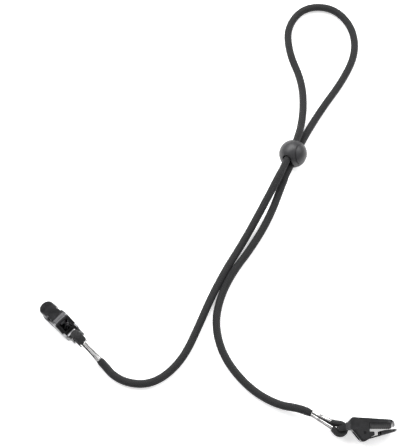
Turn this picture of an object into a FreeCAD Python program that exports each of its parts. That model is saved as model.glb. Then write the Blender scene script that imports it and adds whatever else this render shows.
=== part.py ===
import FreeCAD, Part
import math
import os

# Eyeglass retainer strap: one braided cord with a sheet-metal spring clip crimped to each end,
# and a push-button ball slider that both legs of the cord run through.
# Millimetres, +Z up, lying on a flat surface at z = 0.

os.makedirs("parts", exist_ok=True)

V = FreeCAD.Vector
Z = V(0, 0, 1)
ORIGIN = V(0, 0, 0)

# Cord
CORD_R = 2.0
LEG_GAP = 5.0          # between the two legs' centres inside the slider

# Slider: a ball whose cord hole, stack of legs and button make a right-angled frame
BALL_R = 7.5
BALL_AT = V(42.15, 72.6, BALL_R)
HOLE_HEADING = 66.0    # the hole's heading from +X, towards the neck loop
HOLE_DIP = 10.0        # how far the hole slopes down that way
STACK_TILT = 58.0      # how far the line between the two legs stands up from level
HOLE_HALF_LONG = 4.65
HOLE_HALF_SHORT = 2.2
RIM_AT = 4.7           # the shell's flat rim, from the ball's centre along the button
WELL_R = 5.5
WELL_FLOOR = -4.65
WELL_SKIN_R = 6.85
POCKET_R = 3.0
POCKET_FLOOR = -6.2
BUTTON_R = 5.42
BUTTON_FOOT = -3.0
BUTTON_STROKE = 1.6
BUTTON_SKIN_R = 6.75
PINCH_EDGE = -2.1      # the edge of the button's hole that grips the cord
SPRING_WIRE_R = 0.22
SPRING_R = 2.3
SPRING_TURNS = 3.0

# Folded cord end and ferrule, in the frame of the clip's bar, +X to the cord
LOOP_R = 4.2
LOOP_HALF = 2.4
EYE_R = 0.92
FERRULE_FROM = 3.7
FERRULE_LENGTH = 12.0
FERRULE_WALL = 0.35
FERRULE_SEAM = (0.9, 0.25)   # half the open seam's width at the mouth and where the cord leaves
FERRULE_RINGS = (      # share of the length, half width in the loop's plane and across it
    (0.0, 2.95, 1.95), (0.12, 2.80, 1.92), (0.5, 2.35, 1.95), (1.0, 2.12, 2.12))

# Clip, in a frame with its origin on the hinge pin, +X to the tip, +Y to the top plate
CLIP_HALF = 4.25
CLIP_IN = 3.35
SHEET = 0.8
BAR_X, BAR_Y, BAR_R = -11.7, 1.9, 0.8
ARM_OUT = 3.35
ARM_IN = 2.75
LOOP_ROOM_R = 4.7
PIN_R = 0.75
CHEEK_HOLE_R = 0.76
LUG_HOLE_R = 0.80
LUG_IN = 2.35
WAIST_HALF = 3.15
TONGUE_HALF = 4.0
TONGUE_X = 7.85        # the tongue is at its full width from here
TONGUE_RIM_R = 1.0
LEVER_WINDOW_HALF = 2.3
TOP_SLOT = (-5.2, -4.0, 2.4)   # from and to along the clip, and half its width
UPPER_TIP = 15.3
LOWER_TIP = 16.2
COIL_WIRE_R = 0.25
COIL_R = 1.25
COIL_TURNS = 4

# Where the clips lie: hinge pin, and the folded end's angle about the bar in the clip's frame
RIGHT_PIN = V(72.75, -75.45, 4.6)
RIGHT_TAIL = 151.6
RIGHT_ROLL = 6.0       # how far the right clip is rolled off its cheek, top plate up
LEFT_PIN = V(-77.35, -20.45, 9.28)
LEFT_TAIL = 142.0
LEFT_HEADING = 136.0   # the left clip's nose, from +X
LEFT_DIP = 14.0        # and how far it leans down


def export(name, shape):
    """Write one node, and say how large it is."""
    shape.exportStep("parts/%s.step" % name)
    box = shape.BoundBox
    print("%-19s solids %d  valid %s  %8.2f mm3  z %.2f to %.2f" % (
        name, len(shape.Solids), shape.isValid(), shape.Volume, box.ZMin, box.ZMax))


def heading(angle):
    a = math.radians(angle)
    return V(math.cos(a), math.sin(a), 0)


def plate(points, low, high):
    """A flat outline drawn in XY, raised from z = low to z = high."""
    ring = [V(x, y, low) for x, y in points]
    return Part.Face(Part.makePolygon(ring + ring[:1])).extrude(V(0, 0, high - low))


def plan(points):
    """Half an outline drawn in XZ, mirrored across z = 0 and run along Y through the clip."""
    ring = [V(x, -20, z) for x, z in points] + [V(x, -20, -z) for x, z in reversed(points)]
    return Part.Face(Part.makePolygon(ring + ring[:1])).extrude(V(0, 40, 0))


def block(x0, x1, y0, y1, z0, z1):
    return Part.makeBox(x1 - x0, y1 - y0, z1 - z0, V(x0, y0, z0))


def rod(radius, start, end):
    return Part.makeCylinder(radius, (end - start).Length, start, end - start)


def bar(radius, x, y, half):
    """A round bar across the clip."""
    return rod(radius, V(x, y, -half), V(x, y, half))


def round_corners(shape, radius, spots):
    """Round the edges across the clip that pass within 0.3 mm of a spot."""
    edges = []
    for edge in shape.Edges:
        if len(edge.Vertexes) == 2:
            a, b = edge.Vertexes[0].Point, edge.Vertexes[1].Point
            across = (b - a).cross(Z).Length < 1e-6
            if across and any(math.hypot(a.x - x, a.y - y) < 0.3 for x, y in spots):
                edges.append(edge)
    return shape.makeFillet(radius, edges)


def round_end(tip_x, radius):
    """What to cut away so that a jaw's end is round when seen from above."""
    corner = block(tip_x - radius, tip_x + 3, -9, 9, -9, 9)
    centre = tip_x - radius
    return corner.cut(rod(radius, V(centre, -9, 0), V(centre, 9, 0)))


# ---------------------------------------------------------------- cord

LEFT_LEG = (           # from the left ferrule to the slider
    (-51.4, -46.4, 2.0), (-44.0, -50.2, 2.0), (-34.0, -51.0, 2.0), (-24.4, -46.4, 2.0),
    (-15.4, -36.4, 2.0), (-8.6, -21.6, 2.0), (-2.2, -6.4, 2.0), (5.6, 9.0, 2.0), (14.6, 23.4, 2.4),
    (24.2, 39.3, 6.6))
NECK_LOOP = (          # out of the slider, round the back of the neck and in again
    (50.4, 102.5, 4.0), (48.9, 119.5, 2.0), (42.4, 136.5, 2.0), (41.6, 153.5, 2.0),
    (52.0, 166.5, 2.0), (68.4, 166.0, 2.0), (78.8, 153.2, 2.0), (79.8, 136.5, 2.0),
    (71.8, 119.5, 2.0), (59.4, 102.5, 2.0))
RIGHT_LEG = (          # from the slider to the right ferrule
    (28.6, 36.4, 4.8), (19.4, 21.4, 2.3), (9.0, 7.4, 2.0), (2.4, -6.4, 2.0), (-0.1, -21.0, 2.0),
    (4.4, -37.6, 2.0), (16.9, -52.4, 2.0), (30.5, -61.4, 2.8))
FERRULE_RUN = {"left": 4.5, "right": 5.0}
STRAIGHT_BELOW = 22.0  # control points this far from the ball's centre, along the hole
STRAIGHT_ABOVE = 16.3


def hole_frame():
    """The slider's axes: along the hole to the neck loop, up the stack, and out of the button."""
    flat = heading(HOLE_HEADING)
    dip, tilt = math.radians(HOLE_DIP), math.radians(STACK_TILT)
    along = flat * math.cos(dip) - Z * math.sin(dip)
    above = flat * math.sin(dip) + Z * math.cos(dip)
    aside = heading(HOLE_HEADING + 90)
    stack = aside * math.cos(tilt) + above * math.sin(tilt)
    return along, stack, along.cross(stack)


def cord_route():
    """The control points from the left ferrule's mouth to the right one's."""
    along, stack, _ = hole_frame()
    upper = BALL_AT + stack * (0.5 * LEG_GAP)
    lower = BALL_AT - stack * (0.5 * LEG_GAP)
    below, above = along * STRAIGHT_BELOW, along * STRAIGHT_ABOVE
    left = ferrule_mouth(left_clip(), LEFT_TAIL, FERRULE_RUN["left"])
    right = ferrule_mouth(right_clip(), RIGHT_TAIL, FERRULE_RUN["right"])
    points = left + [V(*p) for p in LEFT_LEG] + [upper - below, upper + above]
    points += [V(*p) for p in NECK_LOOP] + [lower + above, lower - below]
    return points + [V(*p) for p in RIGHT_LEG] + right[::-1]


def ferrule_mouth(clip, tail_angle, run):
    """Where the cord leaves the ferrule, and a point that far straight out."""
    place = tail_placement(clip, tail_angle)
    end = FERRULE_FROM + FERRULE_LENGTH
    return [place.multVec(V(end, 0, 0)), place.multVec(V(end + run, 0, 0))]


def rounded_route(points):
    """Straight runs joined by tangent arcs, each as wide as its shorter run allows."""
    edges = []
    radii = []
    last = points[0]
    for before, corner, after in zip(points, points[1:], points[2:]):
        into, out = corner - before, after - corner
        half_turn = 0.5 * into.getAngle(out)
        cut = 0.45 * min(into.Length, out.Length)
        radius = cut / math.tan(half_turn)
        start = corner - into.normalize() * cut
        end = corner + out.normalize() * cut
        middle = (start + end) * 0.5
        outward = (corner - middle).normalize()
        top = middle + outward * (radius * (1.0 - math.cos(half_turn)))
        edges.append(Part.LineSegment(last, start).toShape())
        edges.append(Part.Arc(start, top, end).toShape())
        radii.append(radius)
        last = end
    edges.append(Part.LineSegment(last, points[-1]).toShape())
    return Part.Wire(edges), radii


def cord_shape():
    """The cord as a round tube, with its length and bend radii printed."""
    points = cord_route()
    wire, radii = rounded_route(points)
    ring = Part.Wire(Part.makeCircle(CORD_R, points[0], points[1] - points[0]))
    tube = wire.makePipeShell([ring], True, True)
    share = tube.Volume / (math.pi * CORD_R ** 2 * wire.Length)
    print("cord length %.1f, volume over section x length %.4f" % (wire.Length, share))
    print("runs  " + " ".join("%.0f" % (b - a).Length for a, b in zip(points, points[1:])))
    print("radii " + " ".join("%.0f" % r for r in radii))
    return tube


# ---------------------------------------------------------------- folded ends and ferrules


def ellipse_ring(x, half_y, half_z):
    """An elliptical wire across the X axis at x, wider along Y than along Z."""
    if half_y - half_z < 1e-6:
        return Part.Wire(Part.makeCircle(half_y, V(x, 0, 0), V(1, 0, 0)))
    curve = Part.Ellipse(V(x, half_y, 0), V(x, 0, half_z), V(x, 0, 0))
    return Part.Wire(curve.toShape())


def ferrule_loft(inset):
    """The ferrule's outside, or its bore when inset."""
    rings = [ellipse_ring(FERRULE_FROM + FERRULE_LENGTH * share, wide - inset, deep - inset)
             for share, wide, deep in FERRULE_RINGS]
    return Part.makeLoft(rings, True, False)


def ferrule_shape():
    """A crimped sleeve with two flaps that don't quite meet, so the cord shows between them."""
    sleeve = ferrule_loft(0).cut(ferrule_loft(FERRULE_WALL))
    start, end = FERRULE_FROM - 0.1, FERRULE_FROM + FERRULE_LENGTH + 0.1
    wide, narrow = FERRULE_SEAM
    return sleeve.cut(plate([(start, -wide), (end, -narrow), (end, narrow), (start, wide)], 0, 9))


def cord_end_shape():
    """The cord turned back round the bar: a padded eye that narrows into the ferrule."""
    neck = FERRULE_RINGS[0][1] - FERRULE_WALL - 0.1
    reach = FERRULE_FROM - 0.05
    lean = math.asin((LOOP_R - neck) / reach)
    top = V(LOOP_R * math.sin(lean), LOOP_R * math.cos(lean), 0)
    low = V(top.x, -top.y, 0)
    mouth_top, mouth_low = V(reach, neck, 0), V(reach, -neck, 0)
    outline = Part.Wire([
        Part.Arc(top, V(-LOOP_R, 0, 0), low).toShape(),
        Part.LineSegment(low, mouth_low).toShape(),
        Part.LineSegment(mouth_low, mouth_top).toShape(),
        Part.LineSegment(mouth_top, top).toShape()])
    face = Part.Face(outline)
    face.translate(V(0, 0, -LOOP_HALF))
    pad = face.extrude(V(0, 0, 2 * LOOP_HALF))
    rims = [e for e in pad.Edges if abs(abs(e.CenterOfMass.z) - LOOP_HALF) < 1e-3
            and e.CenterOfMass.x < reach - 0.3]
    pad = pad.makeFillet(1.5, rims).cut(bar(EYE_R, 0, 0, 9))
    rims = [e for e in pad.Edges if isinstance(e.Curve, Part.Circle)
            and abs(e.Curve.Radius - EYE_R) < 1e-3]
    pad = pad.makeFillet(1.0, rims)
    core = ferrule_loft(FERRULE_WALL + 0.05)
    core = core.cut(block(FERRULE_FROM + FERRULE_LENGTH - 0.05, 30, -9, 9, -9, 9))
    plug = block(reach - 0.6, reach + 0.6, -neck + 0.3, neck - 0.3, -1.5, 1.5)
    return pad.fuse([plug, core]).removeSplitter()


def tail_placement(clip, tail_angle):
    """The folded end's frame: on the clip's bar, turned by tail_angle."""
    swing = FreeCAD.Placement(V(BAR_X, BAR_Y, 0), FreeCAD.Rotation(Z, tail_angle))
    return clip.multiply(swing)


# ---------------------------------------------------------------- slider


def cord_hole(low, high):
    """The oblong hole for both legs, along local X, from low to high on the button's axis."""
    half_round = 0.5 * min(high - low, 2 * HOLE_HALF_SHORT)
    end = HOLE_HALF_LONG - half_round
    box = block(-12, 12, -end, end, low, high)
    rounds = []
    for side in (-end, end):
        for middle in (low + half_round, high - half_round):
            rounds.append(rod(half_round, V(-12, side, middle), V(12, side, middle)))
    strip = block(-12, 12, -HOLE_HALF_LONG, HOLE_HALF_LONG, low + half_round, high - half_round + 0.001)
    return box.fuse(rounds + [strip]).removeSplitter()


def slider_shell():
    """The ball: cut flat under the button, bored for it and crossed by the cord hole."""
    ball = Part.makeSphere(BALL_R)
    ball = ball.cut(block(-9, 9, -9, 9, RIM_AT, 9))
    well = rod(WELL_R, V(0, 0, WELL_FLOOR), V(0, 0, 9)).common(Part.makeSphere(WELL_SKIN_R).fuse(
        block(-9, 9, -9, 9, 0, 12)))
    pocket = rod(POCKET_R, V(0, 0, POCKET_FLOOR), V(0, 0, 0))
    shell = ball.cut(well.fuse(pocket))
    shell = shell.cut(cord_hole(-HOLE_HALF_SHORT, HOLE_HALF_SHORT))
    mouths = [e for e in shell.Edges if abs(e.CenterOfMass.x) > 5.2 and e.BoundBox.XLength < 3.5
              and abs(e.CenterOfMass.z) < 3.0]
    return softened(shell, 0.45, mouths)


def softened(shape, radius, edges):
    """The shape with those edges rounded, or rounded less where that much doesn't fit."""
    for size in (radius, 0.6 * radius, 0.3 * radius):
        try:
            rounded = shape.makeFillet(size, edges)
        except Exception:
            continue
        if rounded.isValid() and rounded.Volume > 0:
            print("  rounded by %.2f on %d edges" % (size, len(edges)))
            return rounded
    print("  not rounded")
    return shape


def slider_button():
    """The button: a domed plunger with its own cross hole, one edge of which grips the cord."""
    plunger = rod(BUTTON_R, V(0, 0, BUTTON_FOOT), V(0, 0, 9))
    skin = Part.makeSphere(BUTTON_SKIN_R)
    skin.translate(V(0, 0, BUTTON_STROKE))
    plunger = plunger.common(Part.makeSphere(BALL_R)).common(skin.fuse(block(-9, 9, -9, 9, 0, 12)))
    return plunger.cut(cord_hole(PINCH_EDGE, HOLE_HALF_SHORT + BUTTON_STROKE))


def coil(radius, wire_r, pitch, turns):
    """A round wire wound about Z from z = 0, starting on +X."""
    helix = Part.makeHelix(pitch, pitch * turns, radius)
    ring = Part.Wire(Part.makeCircle(wire_r, V(radius, 0, 0), V(0, 1, 0)))
    return Part.Wire(helix.Edges).makePipeShell([ring], True, True)


def slider_spring():
    """The compression spring between the button's foot and the pocket's floor."""
    room = BUTTON_FOOT - POCKET_FLOOR - 0.1
    spring = coil(SPRING_R, SPRING_WIRE_R, (room - 2 * SPRING_WIRE_R) / SPRING_TURNS, SPRING_TURNS)
    spring.translate(V(0, 0, POCKET_FLOOR + SPRING_WIRE_R + 0.05))
    return spring


# ---------------------------------------------------------------- clip


def clip_body():
    """Top plate, cheeks, nose and tail arms folded from one sheet, with the bar across the tail."""
    side = [(-12.9, 3.1), (-11.8, 3.5), (-8.4, 4.9), (-5.95, 7.5), (13.1, 6.3), (15.3, 5.0), (15.3, 3.6),
            (14.6, 2.8), (13.8, 2.8), (13.4, 4.7), (2.3, 4.7), (2.3, 0.5), (4.6, 0.5), (4.6, -1.3),
            (2.2, -2.3), (0.4, -3.3), (-1.2, -3.3), (-5.0, 1.4), (-7.4, 1.4), (-11.2, 0.6), (-12.9, 0.9)]
    body = plate(side, -CLIP_HALF, CLIP_HALF)
    body = round_corners(body, 0.6, [(-5.95, 7.5), (13.1, 6.3), (4.6, 0.5), (4.6, -1.3), (0.4, -3.3),
                                     (-1.2, -3.3)])
    body = round_corners(body, 0.5, [(15.3, 5.0), (15.3, 3.6), (-12.9, 3.1), (-12.9, 0.9)])
    body = body.common(plan([(-14, ARM_OUT), (-9.2, ARM_OUT), (-7.0, CLIP_HALF), (17, CLIP_HALF)]))
    inside = plate([(-14, -9), (-14, 4.1), (-8.0, 4.1), (-5.5, 6.6), (12.9, 5.4), (14.4, 4.5),
                    (14.4, 3.4), (13.7, 2.0), (13.7, -9)], -CLIP_HALF, CLIP_HALF)
    inside = inside.common(plan([(-15, ARM_IN), (-8.6, ARM_IN), (-6.9, CLIP_IN), (18, CLIP_IN)]))
    start, end, half = TOP_SLOT
    slot = block(start, end, 5.6, 9, -half, half)
    body = body.cut(inside).cut(slot).cut(bar(LOOP_ROOM_R, BAR_X, BAR_Y, ARM_IN))
    body = body.cut(round_end(UPPER_TIP, CLIP_HALF)).cut(bar(CHEEK_HOLE_R, 0, 0, 9))
    return body.fuse(bar(BAR_R, BAR_X, BAR_Y, ARM_OUT)).removeSplitter()


def clip_jaw():
    """Lower jaw: flanged round-ended tongue, waist, lugs on the pin and the lever plate behind."""
    side = [(-6.3, 1.6), (-1.85, -4.05), (-1.1, -4.35), (0.0, -4.2), (1.9, -3.1), (LOWER_TIP, 0.75),
            (LOWER_TIP, 1.55), (2.2, -2.25), (0.1, -3.3), (-1.0, -3.45), (-5.68, 2.1)]
    sheet = plate(side, -TONGUE_HALF, TONGUE_HALF)
    sheet = round_corners(sheet, 0.35, [(-1.85, -4.05), (-1.1, -4.35), (0.0, -4.2)])
    outline = plan([(-7, WAIST_HALF), (5.6, WAIST_HALF), (6.4, 2.7), (7.2, 3.0), (7.9, TONGUE_HALF),
                    (18, TONGUE_HALF)])
    flange = plate([(7.2, -1.6), (LOWER_TIP, 0.8), (LOWER_TIP, 1.9), (14.2, 1.75), (10.0, 1.3), (7.2, 0.7)],
                   -TONGUE_HALF, TONGUE_HALF)
    lug = plate([(-1.1, -3.9), (1.9, -2.8), (1.7, 0.4), (0.6, 1.45), (-0.6, 1.45), (-1.5, 0.4)],
                -WAIST_HALF, WAIST_HALF)
    lug = round_corners(lug, 0.6, [(1.7, 0.4), (0.6, 1.45), (-0.6, 1.45), (-1.5, 0.4)])
    lug = lug.cut(block(-9, 9, -9, 9, -LUG_IN, LUG_IN)).cut(bar(LUG_HOLE_R, 0, 0, 9))
    floor = block(7.0, LOWER_TIP - SHEET, -9, 9, -TONGUE_HALF + SHEET, TONGUE_HALF - SHEET)
    floor = floor.cut(round_end(LOWER_TIP - SHEET, TONGUE_HALF - SHEET))
    jaw = sheet.fuse(flange.cut(floor)).common(outline).cut(round_end(LOWER_TIP, TONGUE_HALF))
    jaw = round_rim(jaw)
    return jaw.fuse(lug).cut(lever_window()).removeSplitter()


def spots_on(edge):
    """Three points along an edge."""
    run = edge.LastParameter - edge.FirstParameter
    return [edge.valueAt(edge.FirstParameter + share * run) for share in (0.05, 0.5, 0.95)]


def round_rim(jaw):
    """Round the lower edge all round the tongue, where its sheet is folded up."""
    edges = [edge for edge in jaw.Edges
             if all(p.x > TONGUE_X and abs(lower_face(p.x) - p.y) < 0.02 for p in spots_on(edge))]
    return jaw.makeFillet(TONGUE_RIM_R, edges)


def lower_face(x):
    """Height of the tongue's lower face."""
    return -3.1 + (x - 1.9) * (0.75 + 3.1) / (LOWER_TIP - 1.9)


def lever_window():
    """The square window through the lever plate, with a rim all round it."""
    foot, top = V(-2.35, -3.42, 0), V(-5.45, 0.52, 0)
    run = top - foot
    window = Part.makeBox(run.Length, 3.0, 2 * LEVER_WINDOW_HALF, V(0, -1.5, -LEVER_WINDOW_HALF))
    window.Placement = FreeCAD.Placement(foot, FreeCAD.Rotation(V(1, 0, 0), run))
    return window


def clip_pin():
    return bar(PIN_R, 0, 0, CLIP_HALF - 0.03)


def clip_spring():
    """Torsion spring on the pin: one leg up to the top plate, the other on the lever plate."""
    pitch = 2 * COIL_WIRE_R + 0.06
    half = 0.5 * pitch * COIL_TURNS
    wound = coil(COIL_R, COIL_WIRE_R, pitch, COIL_TURNS)
    wound.translate(V(0, 0, -half))
    wound.rotate(ORIGIN, Z, 180)
    leg_r = COIL_WIRE_R - 0.03
    upper = rod(leg_r, V(-COIL_R, -0.15, -half), V(-1.7, 5.9, -half))
    lower = rod(leg_r, V(-COIL_R, 0.15, half), V(-1.5, -2.35, half))
    return wound.fuse([upper, lower])


def clip_upper_grip():
    """The pad under the top plate: a ribbed side and a row of teeth to grip the spectacle arm."""
    pad = plate([(2.7, 2.5), (13.0, 2.5), (13.3, 4.6), (2.7, 4.6)], -3.75, 3.75)
    root = plate([(2.7, 4.5), (12.9, 4.5), (12.7, 5.3), (2.7, 5.95)], -3.28, 3.28)
    teeth = [plate([(x - 0.5, 2.6), (x, 1.95), (x + 0.5, 2.6)], -3.75, 3.75)
             for x in [3.4 + 1.02 * i for i in range(10)]]
    pad = pad.fuse([root] + teeth)
    for side in (-1, 1):
        low, high = sorted((side * 3.3, side * 5))
        pad = pad.cut(block(3.2, 12.6, 3.1, 4.2, low, high))
        low, high = sorted((side * 3.2, side * 3.7))
        pad = pad.fuse([block(x, x + 0.5, 3.0, 4.3, low, high) for x in (8.6, 9.6, 10.6, 11.6)])
    return pad.removeSplitter()


def clip_lower_grip():
    """The pad in the lower jaw's tongue, with teeth that face the upper ones."""
    half = TONGUE_HALF - SHEET - 0.05
    rise = 0.149
    pad = plate([(7.9, -0.64), (14.6, 1.17), (14.6, 1.35), (7.9, 0.35)], -half, half)
    teeth = []
    for x in [8.5 + 1.02 * i for i in range(6)]:
        top = 0.35 + rise * (x - 7.9)
        ridge = [(x - 0.45, top - 0.2), (x, top + 0.45), (x + 0.45, top - 0.1)]
        teeth.append(plate(ridge, 0.05 - half, half - 0.05))
    return pad.fuse(teeth).cut(round_end(15.0, half)).removeSplitter()


CLIP_PIECES = (
    ("body", clip_body), ("jaw", clip_jaw), ("pin", clip_pin), ("spring", clip_spring),
    ("upper_grip", clip_upper_grip), ("lower_grip", clip_lower_grip))


def right_clip():
    """The right clip lies on its cheek, rolled a little by the cord's stiffness."""
    return FreeCAD.Placement(RIGHT_PIN, FreeCAD.Rotation(V(1, 0, 0), RIGHT_ROLL))


def left_clip():
    """The left clip leans on its nose, top plate down, propped up behind by its ferrule."""
    dip = math.radians(LEFT_DIP)
    flat = heading(LEFT_HEADING)
    nose = flat * math.cos(dip) - Z * math.sin(dip)
    top = (flat * math.sin(dip) + Z * math.cos(dip)) * -1
    return FreeCAD.Placement(LEFT_PIN, FreeCAD.Rotation(nose, top, nose.cross(top), "XYZ"))


# ---------------------------------------------------------------- everything in its place


def placed(shape, placement):
    moved = shape.copy()
    moved.Placement = placement.multiply(shape.Placement)
    return moved


export("cord", cord_shape())

SLIDER = FreeCAD.Placement(BALL_AT, FreeCAD.Rotation(*hole_frame(), "XYZ"))
for node, make in (("shell", slider_shell), ("button", slider_button), ("spring", slider_spring)):
    export("slider_" + node, placed(make(), SLIDER))

for side, clip, tail in (("left", left_clip(), LEFT_TAIL), ("right", right_clip(), RIGHT_TAIL)):
    for node, make in CLIP_PIECES:
        export("clip_%s_%s" % (side, node), placed(make(), clip))
    tail_frame = tail_placement(clip, tail)
    export("ferrule_" + side, placed(ferrule_shape(), tail_frame))
    export("cord_end_" + side, placed(cord_end_shape(), tail_frame))
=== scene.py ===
"""An eyeglass retainer strap: one braided cord with a push-button ball slider and two small spring
clips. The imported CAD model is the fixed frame; this script adds the braid, the crimped ferrules,
the materials, the light and the camera. Everything is in metres, in the frame of the CAD model."""

import math

import bpy
import numpy as np
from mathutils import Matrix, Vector


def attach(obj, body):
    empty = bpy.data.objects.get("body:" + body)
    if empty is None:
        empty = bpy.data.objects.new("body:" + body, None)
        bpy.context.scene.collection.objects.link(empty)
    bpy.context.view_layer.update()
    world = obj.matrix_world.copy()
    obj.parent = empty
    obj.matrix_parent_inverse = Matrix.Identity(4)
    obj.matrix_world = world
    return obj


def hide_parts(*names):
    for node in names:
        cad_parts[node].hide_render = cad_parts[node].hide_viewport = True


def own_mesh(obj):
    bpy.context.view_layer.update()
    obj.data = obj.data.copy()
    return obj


MM = 0.001

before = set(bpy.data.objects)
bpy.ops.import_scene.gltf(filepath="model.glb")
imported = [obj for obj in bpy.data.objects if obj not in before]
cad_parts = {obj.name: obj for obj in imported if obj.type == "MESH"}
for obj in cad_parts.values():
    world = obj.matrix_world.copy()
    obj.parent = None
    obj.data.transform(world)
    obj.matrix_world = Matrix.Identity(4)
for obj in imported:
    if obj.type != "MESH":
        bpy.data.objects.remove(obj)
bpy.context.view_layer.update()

# Cord
CORD_R = 2.06 * MM           # over the tops of the strands
MOUTH_R = 1.72 * MM          # squeezed, where it leaves a ferrule
SLIDER_R = 1.86 * MM         # squeezed, inside the slider
MOUTH_SWELL = 2.5 * MM       # how far from a ferrule it takes to fill out
SLIDER_REACH = 10.5 * MM     # the squeezed stretch each side of the middle of its travel
SLIDER_SWELL = 3.0 * MM      # how far past that it takes to fill out
STRANDS = 12                 # strands each way round the braid
PER_CELL = 4                 # mesh rows and columns for one strand's width
RING_STEP = 0.29 * MM
RELIEF = 0.13 * MM           # depth between strands

# The cord's route, from the left ferrule's mouth to the right ferrule's mouth
ROUTE = [
    (-0.05853, -0.03862, 0.00388), (-0.05557, -0.04148, 0.00206), (-0.05140, -0.04640, 0.00200),
    (-0.04400, -0.05020, 0.00200), (-0.03400, -0.05100, 0.00200), (-0.02440, -0.04640, 0.00200),
    (-0.01540, -0.03640, 0.00200), (-0.00860, -0.02160, 0.00200), (-0.00220, -0.00640, 0.00200),
    (0.00560, 0.00900, 0.00200), (0.01460, 0.02340, 0.00240), (0.02360, 0.03900, 0.00620),
    (0.03508, 0.05998, 0.01219), (0.03749, 0.06538, 0.01115), (0.04229, 0.07617, 0.00907),
    (0.04630, 0.08517, 0.00733), (0.04920, 0.10150, 0.00400), (0.04890, 0.11900, 0.00200),
    (0.04240, 0.13650, 0.00200), (0.04160, 0.15350, 0.00200), (0.05200, 0.16650, 0.00200),
    (0.06840, 0.16600, 0.00200), (0.07880, 0.15320, 0.00200), (0.07980, 0.13650, 0.00200),
    (0.07180, 0.11950, 0.00200), (0.05900, 0.10150, 0.00200), (0.04842, 0.08342, 0.00315),
    (0.04441, 0.07442, 0.00489), (0.03961, 0.06363, 0.00698), (0.03720, 0.05823, 0.00802),
    (0.02890, 0.03690, 0.00440), (0.01920, 0.02100, 0.00230), (0.00900, 0.00740, 0.00200),
    (0.00240, -0.00640, 0.00200), (-0.00010, -0.02100, 0.00200), (0.00440, -0.03760, 0.00200),
    (0.01660, -0.05280, 0.00200), (0.03050, -0.06140, 0.00280), (0.04284, -0.06377, 0.00583),
    (0.04724, -0.06613, 0.00558),
]
SLIDER_AT = Vector((42.15, 72.6, 7.5)) * MM
HOLE_AXIS = Vector((0.400557, 0.899667, -0.173648))     # along the slider's hole, to the neck loop
BUTTON_AXIS = Vector((0.812158, -0.260868, 0.521869))   # out of the button
SLIDER_TRAVEL = 6.0 * MM

# Folded ends and ferrules: the clip's bar, the way from it to the cord, and the bar's own line
TAILS = {
    "left": (Vector((-68.85, -28.66, 10.27)) * MM, Vector((0.65715, -0.63460, -0.40674)),
             Vector((-0.6947, -0.7193, 0.0))),
    "right": (Vector((61.05, -73.56, 4.80)) * MM, Vector((-0.87965, 0.47301, 0.04972)),
              Vector((0.0, -0.10453, 0.99452))),
}
FOLD_R = 2.5 * MM            # the folded cord's centreline round the bar
FERRULE_FROM = 3.7 * MM
FERRULE_TO = 15.7 * MM


# ---------------------------------------------------------------- mesh helpers


def new_piece(name, verts, faces, material, body):
    """A mesh object that rides on a body and takes its finish from a slot."""
    mesh = bpy.data.meshes.new(name)
    mesh.from_pydata(verts, [], faces)
    mesh.update()
    mesh.shade_smooth()
    piece = bpy.data.objects.new(name, mesh)
    bpy.context.scene.collection.objects.link(piece)
    mesh.materials.append(material)
    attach(piece, body)
    return piece


def tube_faces(rings, around):
    """Quads between closed rings, and a flat face at each end."""
    ring, column = np.meshgrid(np.arange(rings - 1), np.arange(around), indexing="ij")
    beside = (column + 1) % around
    quads = np.stack([ring * around + column, ring * around + beside,
                      (ring + 1) * around + beside, (ring + 1) * around + column], -1)
    faces = quads.reshape(-1, 4).tolist()
    faces.append(list(range(around - 1, -1, -1)))
    faces.append(list(range((rings - 1) * around, rings * around)))
    return faces


SPLINE_STEPS = 24            # line points for each control point


def spline_line(points):
    """The smooth line that a NURBS spline draws through a route, as close points."""
    data = bpy.data.curves.new("route", "CURVE")
    data.dimensions = "3D"
    spline = data.splines.new("NURBS")
    spline.points.add(len(points) - 1)
    for point, place in zip(spline.points, points):
        point.co = (*place, 1.0)
    spline.order_u = 3
    spline.use_endpoint_u = True
    spline.resolution_u = SPLINE_STEPS
    holder = bpy.data.objects.new("route", data)
    line = bpy.data.meshes.new_from_object(holder)
    places = np.array([vert.co for vert in line.vertices])
    bpy.data.objects.remove(holder)
    bpy.data.curves.remove(data)
    bpy.data.meshes.remove(line)
    return places


def even_steps(line, step):
    """The same line with its points evenly spaced, about a step apart, and how far along it each
    point is."""
    gaps = np.linalg.norm(np.diff(line, axis=0), axis=1)
    run = np.concatenate([[0], np.cumsum(gaps)])
    count = round(run[-1] / step) + 1
    even = np.linspace(0, run[-1], count)
    places = np.stack([np.interp(even, run, line[:, axis]) for axis in range(3)], -1)
    return places, even


def carried_frames(line, first):
    """Two directions across the line at each point, carried along it without twist."""
    along = np.gradient(line, axis=0)
    along /= np.linalg.norm(along, axis=1)[:, None]
    side = np.zeros_like(line)
    current = np.array(first, float)
    for index, direction in enumerate(along):
        current = current - direction * (current @ direction)
        current /= np.linalg.norm(current)
        side[index] = current
    return side, np.cross(along, side)


# ---------------------------------------------------------------- braid


def braid_height(across, along):
    """Height of the braid, 0 to 1, where across and along count strand widths. Each strand goes
    over two of the strands that cross it and then under two."""
    first, second = across - along, across + along
    first_number, second_number = np.floor(first), np.floor(second)
    phase = np.mod(first_number + second_number, 4)
    over = phase < 2
    width = np.where(over, first - first_number, second - second_number)
    second_run = (second - second_number + np.mod(phase, 2)) / 2
    first_run = (first - first_number + np.mod(phase, 2)) / 2
    run = np.where(over, second_run, first_run)
    crown = 1 - (2 * width - 1) ** 2
    arch = 0.45 + 0.55 * np.sin(np.pi * run)
    return np.sqrt(np.clip(crown, 0, 1)) * arch


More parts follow.
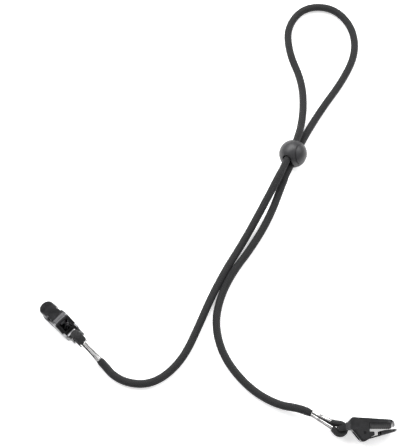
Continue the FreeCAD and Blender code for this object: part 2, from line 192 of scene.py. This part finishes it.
def braided_tube(name, line, sides, half_sizes, body):
    """A braid laid on an oval tube: half_sizes are its two half widths at each point of the line."""
    around = STRANDS * PER_CELL
    turn = np.arange(around) / around
    angle = 2 * np.pi * turn
    rings = len(line)
    across = np.tile(turn * STRANDS, (rings, 1))
    along = np.repeat(np.arange(rings)[:, None] / PER_CELL, around, axis=1)
    sink = RELIEF * (1 - braid_height(across, along))
    first, second = sides
    flat = np.cos(angle)[None, :, None] * (half_sizes[:, 0, None] - sink)[..., None]
    deep = np.sin(angle)[None, :, None] * (half_sizes[:, 1, None] - sink)[..., None]
    places = line[:, None, :] + flat * first[:, None, :] + deep * second[:, None, :]
    piece = new_piece(name, places.reshape(-1, 3), tube_faces(rings, around),
                      cord_material, body)
    add_braid_map(piece.data, rings, around)
    return piece


def add_braid_map(mesh, rings, around):
    """A UV map that counts strand widths round the cord and along it."""
    layer = mesh.uv_layers.new(name="braid")
    corners = np.zeros(len(mesh.loops), int)
    mesh.loops.foreach_get("vertex_index", corners)
    column, ring = corners % around, corners // around
    on_tube = np.arange(len(corners)) < (rings - 1) * around * 4
    quad_corner = np.arange(len(corners)) % 4
    wraps = on_tube & (column == 0) & ((quad_corner == 1) | (quad_corner == 2))
    column = np.where(wraps, around, column)
    uv = np.stack([column / PER_CELL, ring / PER_CELL], -1).astype(np.float32)
    layer.data.foreach_set("uv", uv.ravel())


def smooth_step(value):
    value = np.clip(value, 0, 1)
    return value * value * (3 - 2 * value)


def make_cord():
    """The free cord, from ferrule to ferrule."""
    line, run = even_steps(spline_line(ROUTE), RING_STEP)
    length = run[-1]
    sides = carried_frames(line, (0, 0, 1))
    nearest_end = np.minimum(run, length - run)
    radius = MOUTH_R + (CORD_R - MOUTH_R) * smooth_step(nearest_end / MOUTH_SWELL)
    squeezed_about = SLIDER_AT - HOLE_AXIS * (SLIDER_TRAVEL / 2)
    away = np.linalg.norm(line - np.array(squeezed_about), axis=1)
    free = smooth_step((away - SLIDER_REACH) / SLIDER_SWELL)
    radius = np.minimum(radius, SLIDER_R + (CORD_R - SLIDER_R) * free)
    piece = braided_tube("braided_cord", line, sides, np.stack([radius, radius], -1), "strap")
    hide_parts("cord")


def fold_profile():
    """The folded end's centreline about the bar, x to the cord and y across it, with each point's
    half thickness in the fold's plane and half width along the bar."""
    points = []
    run_in = np.linspace(FERRULE_TO - 0.1 * MM, FERRULE_FROM, 9)
    for x in run_in:
        share = (FERRULE_TO - x) / (FERRULE_TO - FERRULE_FROM)
        points.append((x, 1.22 * MM * share ** 0.8, MOUTH_R + (1.2 * MM - MOUTH_R) * share ** 0.7,
                       MOUTH_R + (1.4 * MM - MOUTH_R) * share ** 0.5))
    for degrees in range(70, 291, 20):
        angle = math.radians(degrees)
        points.append((FOLD_R * math.cos(angle), FOLD_R * math.sin(angle), 1.6 * MM, 2.38 * MM))
    for x in (FERRULE_FROM, 6.0 * MM, 8.5 * MM, 10.5 * MM):
        share = (FERRULE_TO - x) / (FERRULE_TO - FERRULE_FROM)
        points.append((x, -1.22 * MM * share ** 0.8, 1.15 * MM * share ** 0.6, 1.36 * MM))
    return np.array(points)


def make_folded_end(side):
    """The cord turned back round the clip's bar, its short end cut inside the ferrule."""
    bar, tail, across = TAILS[side]
    up = across.cross(tail)
    profile = fold_profile()
    spots = [tuple(bar + tail * x + up * y) for x, y, _, _ in profile]
    line, _ = even_steps(spline_line(spots), RING_STEP)
    share = np.linspace(0, 1, len(profile))
    place = np.linspace(0, 1, len(line))
    sizes = np.stack([np.interp(place, share, profile[:, column]) for column in (2, 3)], -1)
    along = np.gradient(line, axis=0)
    along /= np.linalg.norm(along, axis=1)[:, None]
    flat = np.tile(np.array(across), (len(line), 1))
    inward = np.cross(flat, along)
    piece = braided_tube(f"folded_end_{side}", line, (inward, flat), sizes, "strap")
    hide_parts(f"cord_end_{side}")


# ---------------------------------------------------------------- ferrules


SECTION_POINTS = 44          # round the outside of a ferrule, and as many round its bore
CURL_DEPTH = 0.22 * MM       # how far the seam's edges curl in
CURL_ANGLE = 0.5             # and how far round the curl reaches


def sleeve_section(half_wide, half_deep, seam, wall, seam_at):
    """A closed outline of a sleeve's wall: round the outside from one seam edge to the other and
    back along the bore, with rounded edges. Plane axes: across the fold, and out of its plane."""
    gap = math.asin(min(seam / half_wide, 0.9))
    start, end = seam_at + gap, seam_at + 2 * math.pi - gap
    outside, bore = [], []
    for index in range(SECTION_POINTS):
        angle = start + (end - start) * index / (SECTION_POINTS - 1)
        near_edge = min(angle - start, end - angle) / CURL_ANGLE
        curl = CURL_DEPTH * max(0.0, 1 - near_edge) ** 2
        wide, deep = half_wide - curl, half_deep - curl
        outside.append((wide * math.cos(angle), deep * math.sin(angle)))
        bore.append(((wide - wall) * math.cos(angle), (deep - wall) * math.sin(angle)))
    return rounded_edges(outside + bore[::-1])


def rounded_edges(points):
    """Adds one middle point to each of the wall's two edges, pushed out a little."""
    rounded = []
    for index, point in enumerate(points):
        rounded.append(point)
        if index in (SECTION_POINTS - 1, 2 * SECTION_POINTS - 1):
            other = points[(index + 1) % len(points)]
            before = points[index - 1]
            step = Vector(point) - Vector(before)
            middle = (Vector(point) + Vector(other)) / 2 + step.normalized() * 0.1 * MM
            rounded.append(tuple(middle))
    return rounded


FERRULE_WALL = 0.35 * MM
SEAM_AT = {"left": math.radians(40), "right": math.radians(90)}   # round from the fold's plane
FERRULE_STATIONS = (         # share of the length, half width, half depth, half seam, mm
    (0.000, 2.90, 1.90, 0.95), (0.020, 2.95, 1.95, 0.95), (0.060, 2.86, 1.90, 0.92),
    (0.130, 2.80, 1.88, 0.88), (0.200, 2.70, 1.86, 0.84), (0.260, 2.62, 1.80, 0.78),
    (0.310, 2.55, 1.76, 0.74), (0.360, 2.50, 1.79, 0.70), (0.430, 2.42, 1.86, 0.64),
    (0.520, 2.33, 1.92, 0.57), (0.600, 2.27, 1.90, 0.51), (0.650, 2.22, 1.82, 0.47),
    (0.700, 2.19, 1.74, 0.44), (0.750, 2.17, 1.80, 0.41), (0.820, 2.14, 1.98, 0.37),
    (0.900, 2.12, 2.08, 0.32), (0.965, 2.12, 2.10, 0.28), (0.990, 2.12, 2.12, 0.26),
    (1.000, 2.06, 2.06, 0.25))


def make_ferrule(side):
    """A crimped sleeve: flared over the fold, pinched twice, its two flaps not quite meeting, and
    with thinner rims."""
    bar, tail, across = TAILS[side]
    up = across.cross(tail)
    verts = []
    for share, wide, deep, seam in FERRULE_STATIONS:
        centre = bar + tail * (FERRULE_FROM + (FERRULE_TO - FERRULE_FROM) * share)
        wall = FERRULE_WALL if 0.01 < share < 0.995 else 0.6 * FERRULE_WALL
        section = sleeve_section(wide * MM, deep * MM, seam * MM, wall, SEAM_AT[side])
        verts += [tuple(centre + up * y + across * z) for y, z in section]
    around = len(section)
    piece = new_piece(f"crimped_ferrule_{side}", verts, tube_faces(len(FERRULE_STATIONS), around),
                      chrome_material, "strap")
    piece.data.set_sharp_from_angle(angle=math.radians(50))
    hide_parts(f"ferrule_{side}")


# ---------------------------------------------------------------- button spring


SPRING_FOOT = -6.15 * MM     # along the button's axis, from the slider's middle
SPRING_HEIGHT = 3.1 * MM
SPRING_R = 2.3 * MM
SPRING_WIRE_R = 0.22 * MM
SPRING_TURNS = 3


def make_button_spring():
    """The compression spring under the button."""
    per_turn, around = 40, 12
    side = BUTTON_AXIS.orthogonal().normalized()
    other = BUTTON_AXIS.cross(side)
    rise = SPRING_HEIGHT - 2 * SPRING_WIRE_R
    count = SPRING_TURNS * per_turn + 1
    verts = []
    for index in range(count):
        share = index / (count - 1)
        turn = 2 * math.pi * SPRING_TURNS * share
        outward = side * math.cos(turn) + other * math.sin(turn)
        lift = SPRING_FOOT + SPRING_WIRE_R + rise * share
        for step in range(around):
            angle = 2 * math.pi * step / around
            out = SPRING_R + SPRING_WIRE_R * math.cos(angle)
            up = lift + SPRING_WIRE_R * math.sin(angle)
            verts.append(tuple(SLIDER_AT + outward * out + BUTTON_AXIS * up))
    piece = new_piece("button_spring", verts, tube_faces(count, around), spring_material, "slider")
    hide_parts("slider_spring")
    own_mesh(piece)


# ---------------------------------------------------------------- materials


def node_material(name, colour, metallic, roughness):
    """A Principled material, and its nodes, links and shader."""
    material = bpy.data.materials.new(name)
    material.use_nodes = True
    nodes, links = material.node_tree.nodes, material.node_tree.links
    shader = nodes["Principled BSDF"]
    shader.inputs["Base Color"].default_value = (*colour, 1)
    shader.inputs["Metallic"].default_value = metallic
    shader.inputs["Roughness"].default_value = roughness
    return material, nodes, links, shader


def noise(nodes, links, scale, detail, stretch=None):
    """Noise in object space: scale is in cycles a metre, stretch scales the three axes."""
    place = nodes.new("ShaderNodeTexCoord")
    texture = nodes.new("ShaderNodeTexNoise")
    texture.inputs["Scale"].default_value = scale
    texture.inputs["Detail"].default_value = detail
    if stretch is None:
        links.new(place.outputs["Object"], texture.inputs["Vector"])
        return texture.outputs["Fac"]
    mapping = nodes.new("ShaderNodeMapping")
    mapping.inputs["Scale"].default_value = stretch
    links.new(place.outputs["Object"], mapping.inputs["Vector"])
    links.new(mapping.outputs["Vector"], texture.inputs["Vector"])
    return texture.outputs["Fac"]


def ramp(nodes, links, value, low, high, dark, light):
    """A colour or grey that runs from dark to light as the value runs from low to high."""
    colours = nodes.new("ShaderNodeValToRGB")
    colours.color_ramp.elements[0].position = low
    colours.color_ramp.elements[1].position = high
    colours.color_ramp.elements[0].color = (*dark, 1)
    colours.color_ramp.elements[1].color = (*light, 1)
    links.new(value, colours.inputs["Fac"])
    return colours.outputs["Color"]


def scaled(nodes, links, value, low, high):
    """The value, 0 to 1, mapped to run from low to high."""
    span = nodes.new("ShaderNodeMapRange")
    span.inputs["To Min"].default_value = low
    span.inputs["To Max"].default_value = high
    links.new(value, span.inputs["Value"])
    return span.outputs["Result"]


def maths(nodes, links, operation, first, second=None):
    """One arithmetic step on sockets or numbers."""
    step = nodes.new("ShaderNodeMath")
    step.operation = operation
    for socket, value in zip(step.inputs, (first, second)):
        if value is None:
            continue
        if isinstance(value, (int, float)):
            socket.default_value = value
        else:
            links.new(value, socket)
    return step.outputs["Value"]


def bump(nodes, links, shader, height, distance):
    """Fine relief on the shader's normal."""
    relief = nodes.new("ShaderNodeBump")
    relief.inputs["Strength"].default_value = 1.0
    relief.inputs["Distance"].default_value = distance
    links.new(height, relief.inputs["Height"])
    links.new(relief.outputs["Normal"], shader.inputs["Normal"])


def make_cord_material():
    """Black polyester braid: filaments along each strand, painted shade darkening the colour between
    strands and a lighter strand crown, a soft sheen.
    """
    material, nodes, links, shader = node_material("black_braid", (0.020, 0.020, 0.021), 0, 0.62)
    shader.inputs["Sheen Weight"].default_value = 0.06
    shader.inputs["Sheen Roughness"].default_value = 0.45
    shader.inputs["Sheen Tint"].default_value = (0.75, 0.77, 0.82, 1)
    shader.inputs["Specular IOR Level"].default_value = 0.22
    cells = nodes.new("ShaderNodeUVMap")
    cells.uv_map = "braid"
    parts = nodes.new("ShaderNodeSeparateXYZ")
    links.new(cells.outputs["UV"], parts.inputs["Vector"])
    across, along = parts.outputs["X"], parts.outputs["Y"]
    first = maths(nodes, links, "SUBTRACT", across, along)
    second = maths(nodes, links, "ADD", across, along)
    numbers = maths(nodes, links, "ADD", maths(nodes, links, "FLOOR", first),
                    maths(nodes, links, "FLOOR", second))
    phase = maths(nodes, links, "FLOORED_MODULO", numbers, 4.0)
    over = maths(nodes, links, "LESS_THAN", phase, 1.5)
    under = maths(nodes, links, "SUBTRACT", 1.0, over)
    width = maths(nodes, links, "ADD",
                  maths(nodes, links, "MULTIPLY", over, maths(nodes, links, "FRACT", first)),
                  maths(nodes, links, "MULTIPLY", under, maths(nodes, links, "FRACT", second)))
    filaments = maths(nodes, links, "SINE", maths(nodes, links, "MULTIPLY", width, 8 * math.pi))
    # painted shade: the colour darkens towards each strand's edges and is lightest on its crown,
    # standing in for the shade in the gaps between strands
    crown = maths(nodes, links, "SINE", maths(nodes, links, "MULTIPLY", width, math.pi))
    fuzz = noise(nodes, links, 5200, 3)
    patches = noise(nodes, links, 90, 3)
    tone = maths(nodes, links, "ADD", maths(nodes, links, "MULTIPLY", crown, 0.62),
                 maths(nodes, links, "MULTIPLY", fuzz, 0.35))
    tone = maths(nodes, links, "ADD", tone, maths(nodes, links, "MULTIPLY", patches, 0.2))
    colour = ramp(nodes, links, tone, 0.15, 1.0, (0.0015, 0.0015, 0.0016), (0.030, 0.030, 0.031))
    links.new(colour, shader.inputs["Base Color"])
    links.new(scaled(nodes, links, fuzz, 0.48, 0.78), shader.inputs["Roughness"])
    height = maths(nodes, links, "ADD", maths(nodes, links, "MULTIPLY", filaments, 0.5), fuzz)
    bump(nodes, links, shader, height, 0.05 * MM)
    return material


def make_metal(name, colour, roughness, spread, grain, grain_depth):
    """Sheet metal or wire: its colour and roughness vary in soft patches, with a fine grain."""
    material, nodes, links, shader = node_material(name, colour, 1.0, roughness)
    patches = noise(nodes, links, 260, 4)
    fine = noise(nodes, links, grain, 3, stretch=(1.0, 1.0, 0.25))
    lighter = tuple(min(1.0, part * 1.25) for part in colour)
    darker = tuple(part * 0.8 for part in colour)
    links.new(ramp(nodes, links, patches, 0.3, 0.75, darker, lighter), shader.inputs["Base Color"])
    mixed = maths(nodes, links, "ADD", maths(nodes, links, "MULTIPLY", patches, 0.6),
                  maths(nodes, links, "MULTIPLY", fine, 0.4))
    links.new(scaled(nodes, links, mixed, roughness - spread, roughness + spread),
              shader.inputs["Roughness"])
    bump(nodes, links, shader, fine, grain_depth)
    return material


def make_plastic(name, colour, roughness, grain, grain_depth):
    """Moulded plastic or rubber: a fine moulded texture, a few smoother, handled places."""
    material, nodes, links, shader = node_material(name, colour, 0.0, roughness)
    handled = noise(nodes, links, 120, 4)
    fine = noise(nodes, links, grain, 2)
    darker = tuple(part * 0.75 for part in colour)
    lighter = tuple(part * 1.25 for part in colour)
    links.new(ramp(nodes, links, handled, 0.25, 0.8, darker, lighter), shader.inputs["Base Color"])
    mixed = maths(nodes, links, "ADD", maths(nodes, links, "MULTIPLY", handled, 0.7),
                  maths(nodes, links, "MULTIPLY", fine, 0.3))
    links.new(scaled(nodes, links, mixed, roughness - 0.08, roughness + 0.1),
              shader.inputs["Roughness"])
    bump(nodes, links, shader, fine, grain_depth)
    return material


cord_material = make_cord_material()
chrome_material = make_metal("bright_nickel", (0.70, 0.695, 0.69), 0.11, 0.05, 2600, 0.004 * MM)
sheet_material = make_metal("black_nickel_sheet", (0.082, 0.082, 0.085), 0.25, 0.08, 2200,
                            0.006 * MM)
pin_material = make_metal("blackened_pin", (0.030, 0.030, 0.031), 0.34, 0.08, 3000, 0.004 * MM)
spring_material = make_metal("spring_wire", (0.36, 0.36, 0.37), 0.28, 0.08, 3000, 0.004 * MM)
grip_material = make_plastic("grip_rubber", (0.024, 0.024, 0.025), 0.5, 3800, 0.02 * MM)
ball_material = make_plastic("ball_plastic", (0.020, 0.020, 0.022), 0.42, 3000, 0.010 * MM)
button_material = make_plastic("button_plastic", (0.022, 0.022, 0.024), 0.45, 3000, 0.012 * MM)


def dress_cad_nodes():
    """Gives each CAD node that stays showing its detailed material."""
    by_ending = {"_body": sheet_material, "_jaw": sheet_material, "_pin": pin_material,
                 "_grip": grip_material, "_shell": ball_material, "_button": button_material,
                 "_spring": spring_material}
    for name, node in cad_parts.items():
        for ending, material in by_ending.items():
            if name.endswith(ending):
                node.data.materials.clear()
                node.data.materials.append(material)


# ---------------------------------------------------------------- light, floor and camera


def make_world():
    """A studio for the metal to reflect: a bright ring overhead, dark bands above and below it,
    and a dim wall on the left."""
    world = bpy.data.worlds.new("studio")
    bpy.context.scene.world = world
    world.use_nodes = True
    nodes, links = world.node_tree.nodes, world.node_tree.links
    place = nodes.new("ShaderNodeTexCoord")
    parts = nodes.new("ShaderNodeSeparateXYZ")
    links.new(place.outputs["Generated"], parts.inputs["Vector"])
    colours = nodes.new("ShaderNodeValToRGB")
    stops = colours.color_ramp.elements
    stops[0].position, stops[0].color = 0.0, (0.55, 0.55, 0.56, 1)
    stops[1].position, stops[1].color = 1.0, (0.38, 0.38, 0.38, 1)
    for position, grey in ((0.08, 0.5), (0.34, 0.5), (0.42, 0.08), (0.58, 0.08), (0.66, 1.15),
                           (0.82, 1.15), (0.90, 0.38)):
        stop = stops.new(position)
        stop.color = (grey, grey, grey * 1.01, 1)
    links.new(parts.outputs["Z"], colours.inputs["Fac"])
    links.new(colours.outputs["Color"], nodes["Background"].inputs["Color"])
    wall = nodes.new("ShaderNodeMapRange")
    wall.inputs["From Min"].default_value = -0.55
    wall.inputs["From Max"].default_value = -0.25
    wall.inputs["To Min"].default_value = 0.4
    wall.inputs["To Max"].default_value = 0.95
    links.new(parts.outputs["X"], wall.inputs["Value"])
    links.new(wall.outputs["Result"], nodes["Background"].inputs["Strength"])


LAMP_TARGET = Vector((0, 0.03, 0))
LAMP_SIZE = 0.7
LAMPS = (("back", (-0.2, 0.8, 0.95), 13), ("back_left", (-0.75, 0.45, 0.9), 8),
         ("back_right", (0.75, 0.45, 0.9), 7))


def area_light(name, place, power):
    """A soft square light that points at the strap."""
    data = bpy.data.lights.new(name, "AREA")
    data.shape = "SQUARE"
    data.size = LAMP_SIZE
    data.energy = power
    lamp = bpy.data.objects.new(name, data)
    lamp.location = place
    lamp.rotation_euler = (LAMP_TARGET - Vector(place)).to_track_quat("-Z", "Y").to_euler()
    bpy.context.scene.collection.objects.link(lamp)


FLOOR_AT = -0.1 * MM
FLOOR_GLOW = 0.50            # the table is lit a little from below
FLOOR_HALF = 4.0


def make_floor():
    """A plain white floor with a faint unevenness."""
    mesh = bpy.data.meshes.new("studio_floor")
    corners = [(x * FLOOR_HALF, y * FLOOR_HALF, 0) for x, y in ((-1, -1), (1, -1), (1, 1), (-1, 1))]
    mesh.from_pydata(corners, [], [(0, 1, 2, 3)])
    material, nodes, links, shader = node_material("white_floor", (0.9, 0.9, 0.9), 0, 0.7)
    shader.inputs["Specular IOR Level"].default_value = 0.2
    shader.inputs["Emission Color"].default_value = (1, 1, 1, 1)
    shader.inputs["Emission Strength"].default_value = FLOOR_GLOW
    tone = ramp(nodes, links, noise(nodes, links, 3, 3), 0.2, 0.8, (0.90, 0.90, 0.90),
                (0.92, 0.92, 0.92))
    links.new(tone, shader.inputs["Base Color"])
    mesh.materials.append(material)
    floor = bpy.data.objects.new("studio_floor", mesh)
    floor.location.z = FLOOR_AT
    bpy.context.scene.collection.objects.link(floor)


def make_camera():
    """A long lens from the front, 70 degrees above the table."""
    aim = Vector((-7.15, 35.55, 0.0)) * MM
    elevation, distance = math.radians(70), 0.560
    data = bpy.data.cameras.new("camera")
    data.lens = 85
    data.sensor_width = 36
    data.clip_start, data.clip_end = 0.01, 20
    camera = bpy.data.objects.new("camera", data)
    camera.location = aim + Vector((0, -math.cos(elevation), math.sin(elevation))) * distance
    camera.rotation_euler = (math.pi / 2 - elevation, 0, 0)
    bpy.context.scene.collection.objects.link(camera)
    bpy.context.scene.camera = camera


# ---------------------------------------------------------------- build


bpy.context.scene.view_settings.view_transform = "Standard"
make_camera()
make_cord()
for side in TAILS:
    make_folded_end(side)
    make_ferrule(side)
make_button_spring()
dress_cad_nodes()
make_world()
make_floor()
for lamp_name, lamp_place, watts in LAMPS:
    area_light(lamp_name, lamp_place, watts)
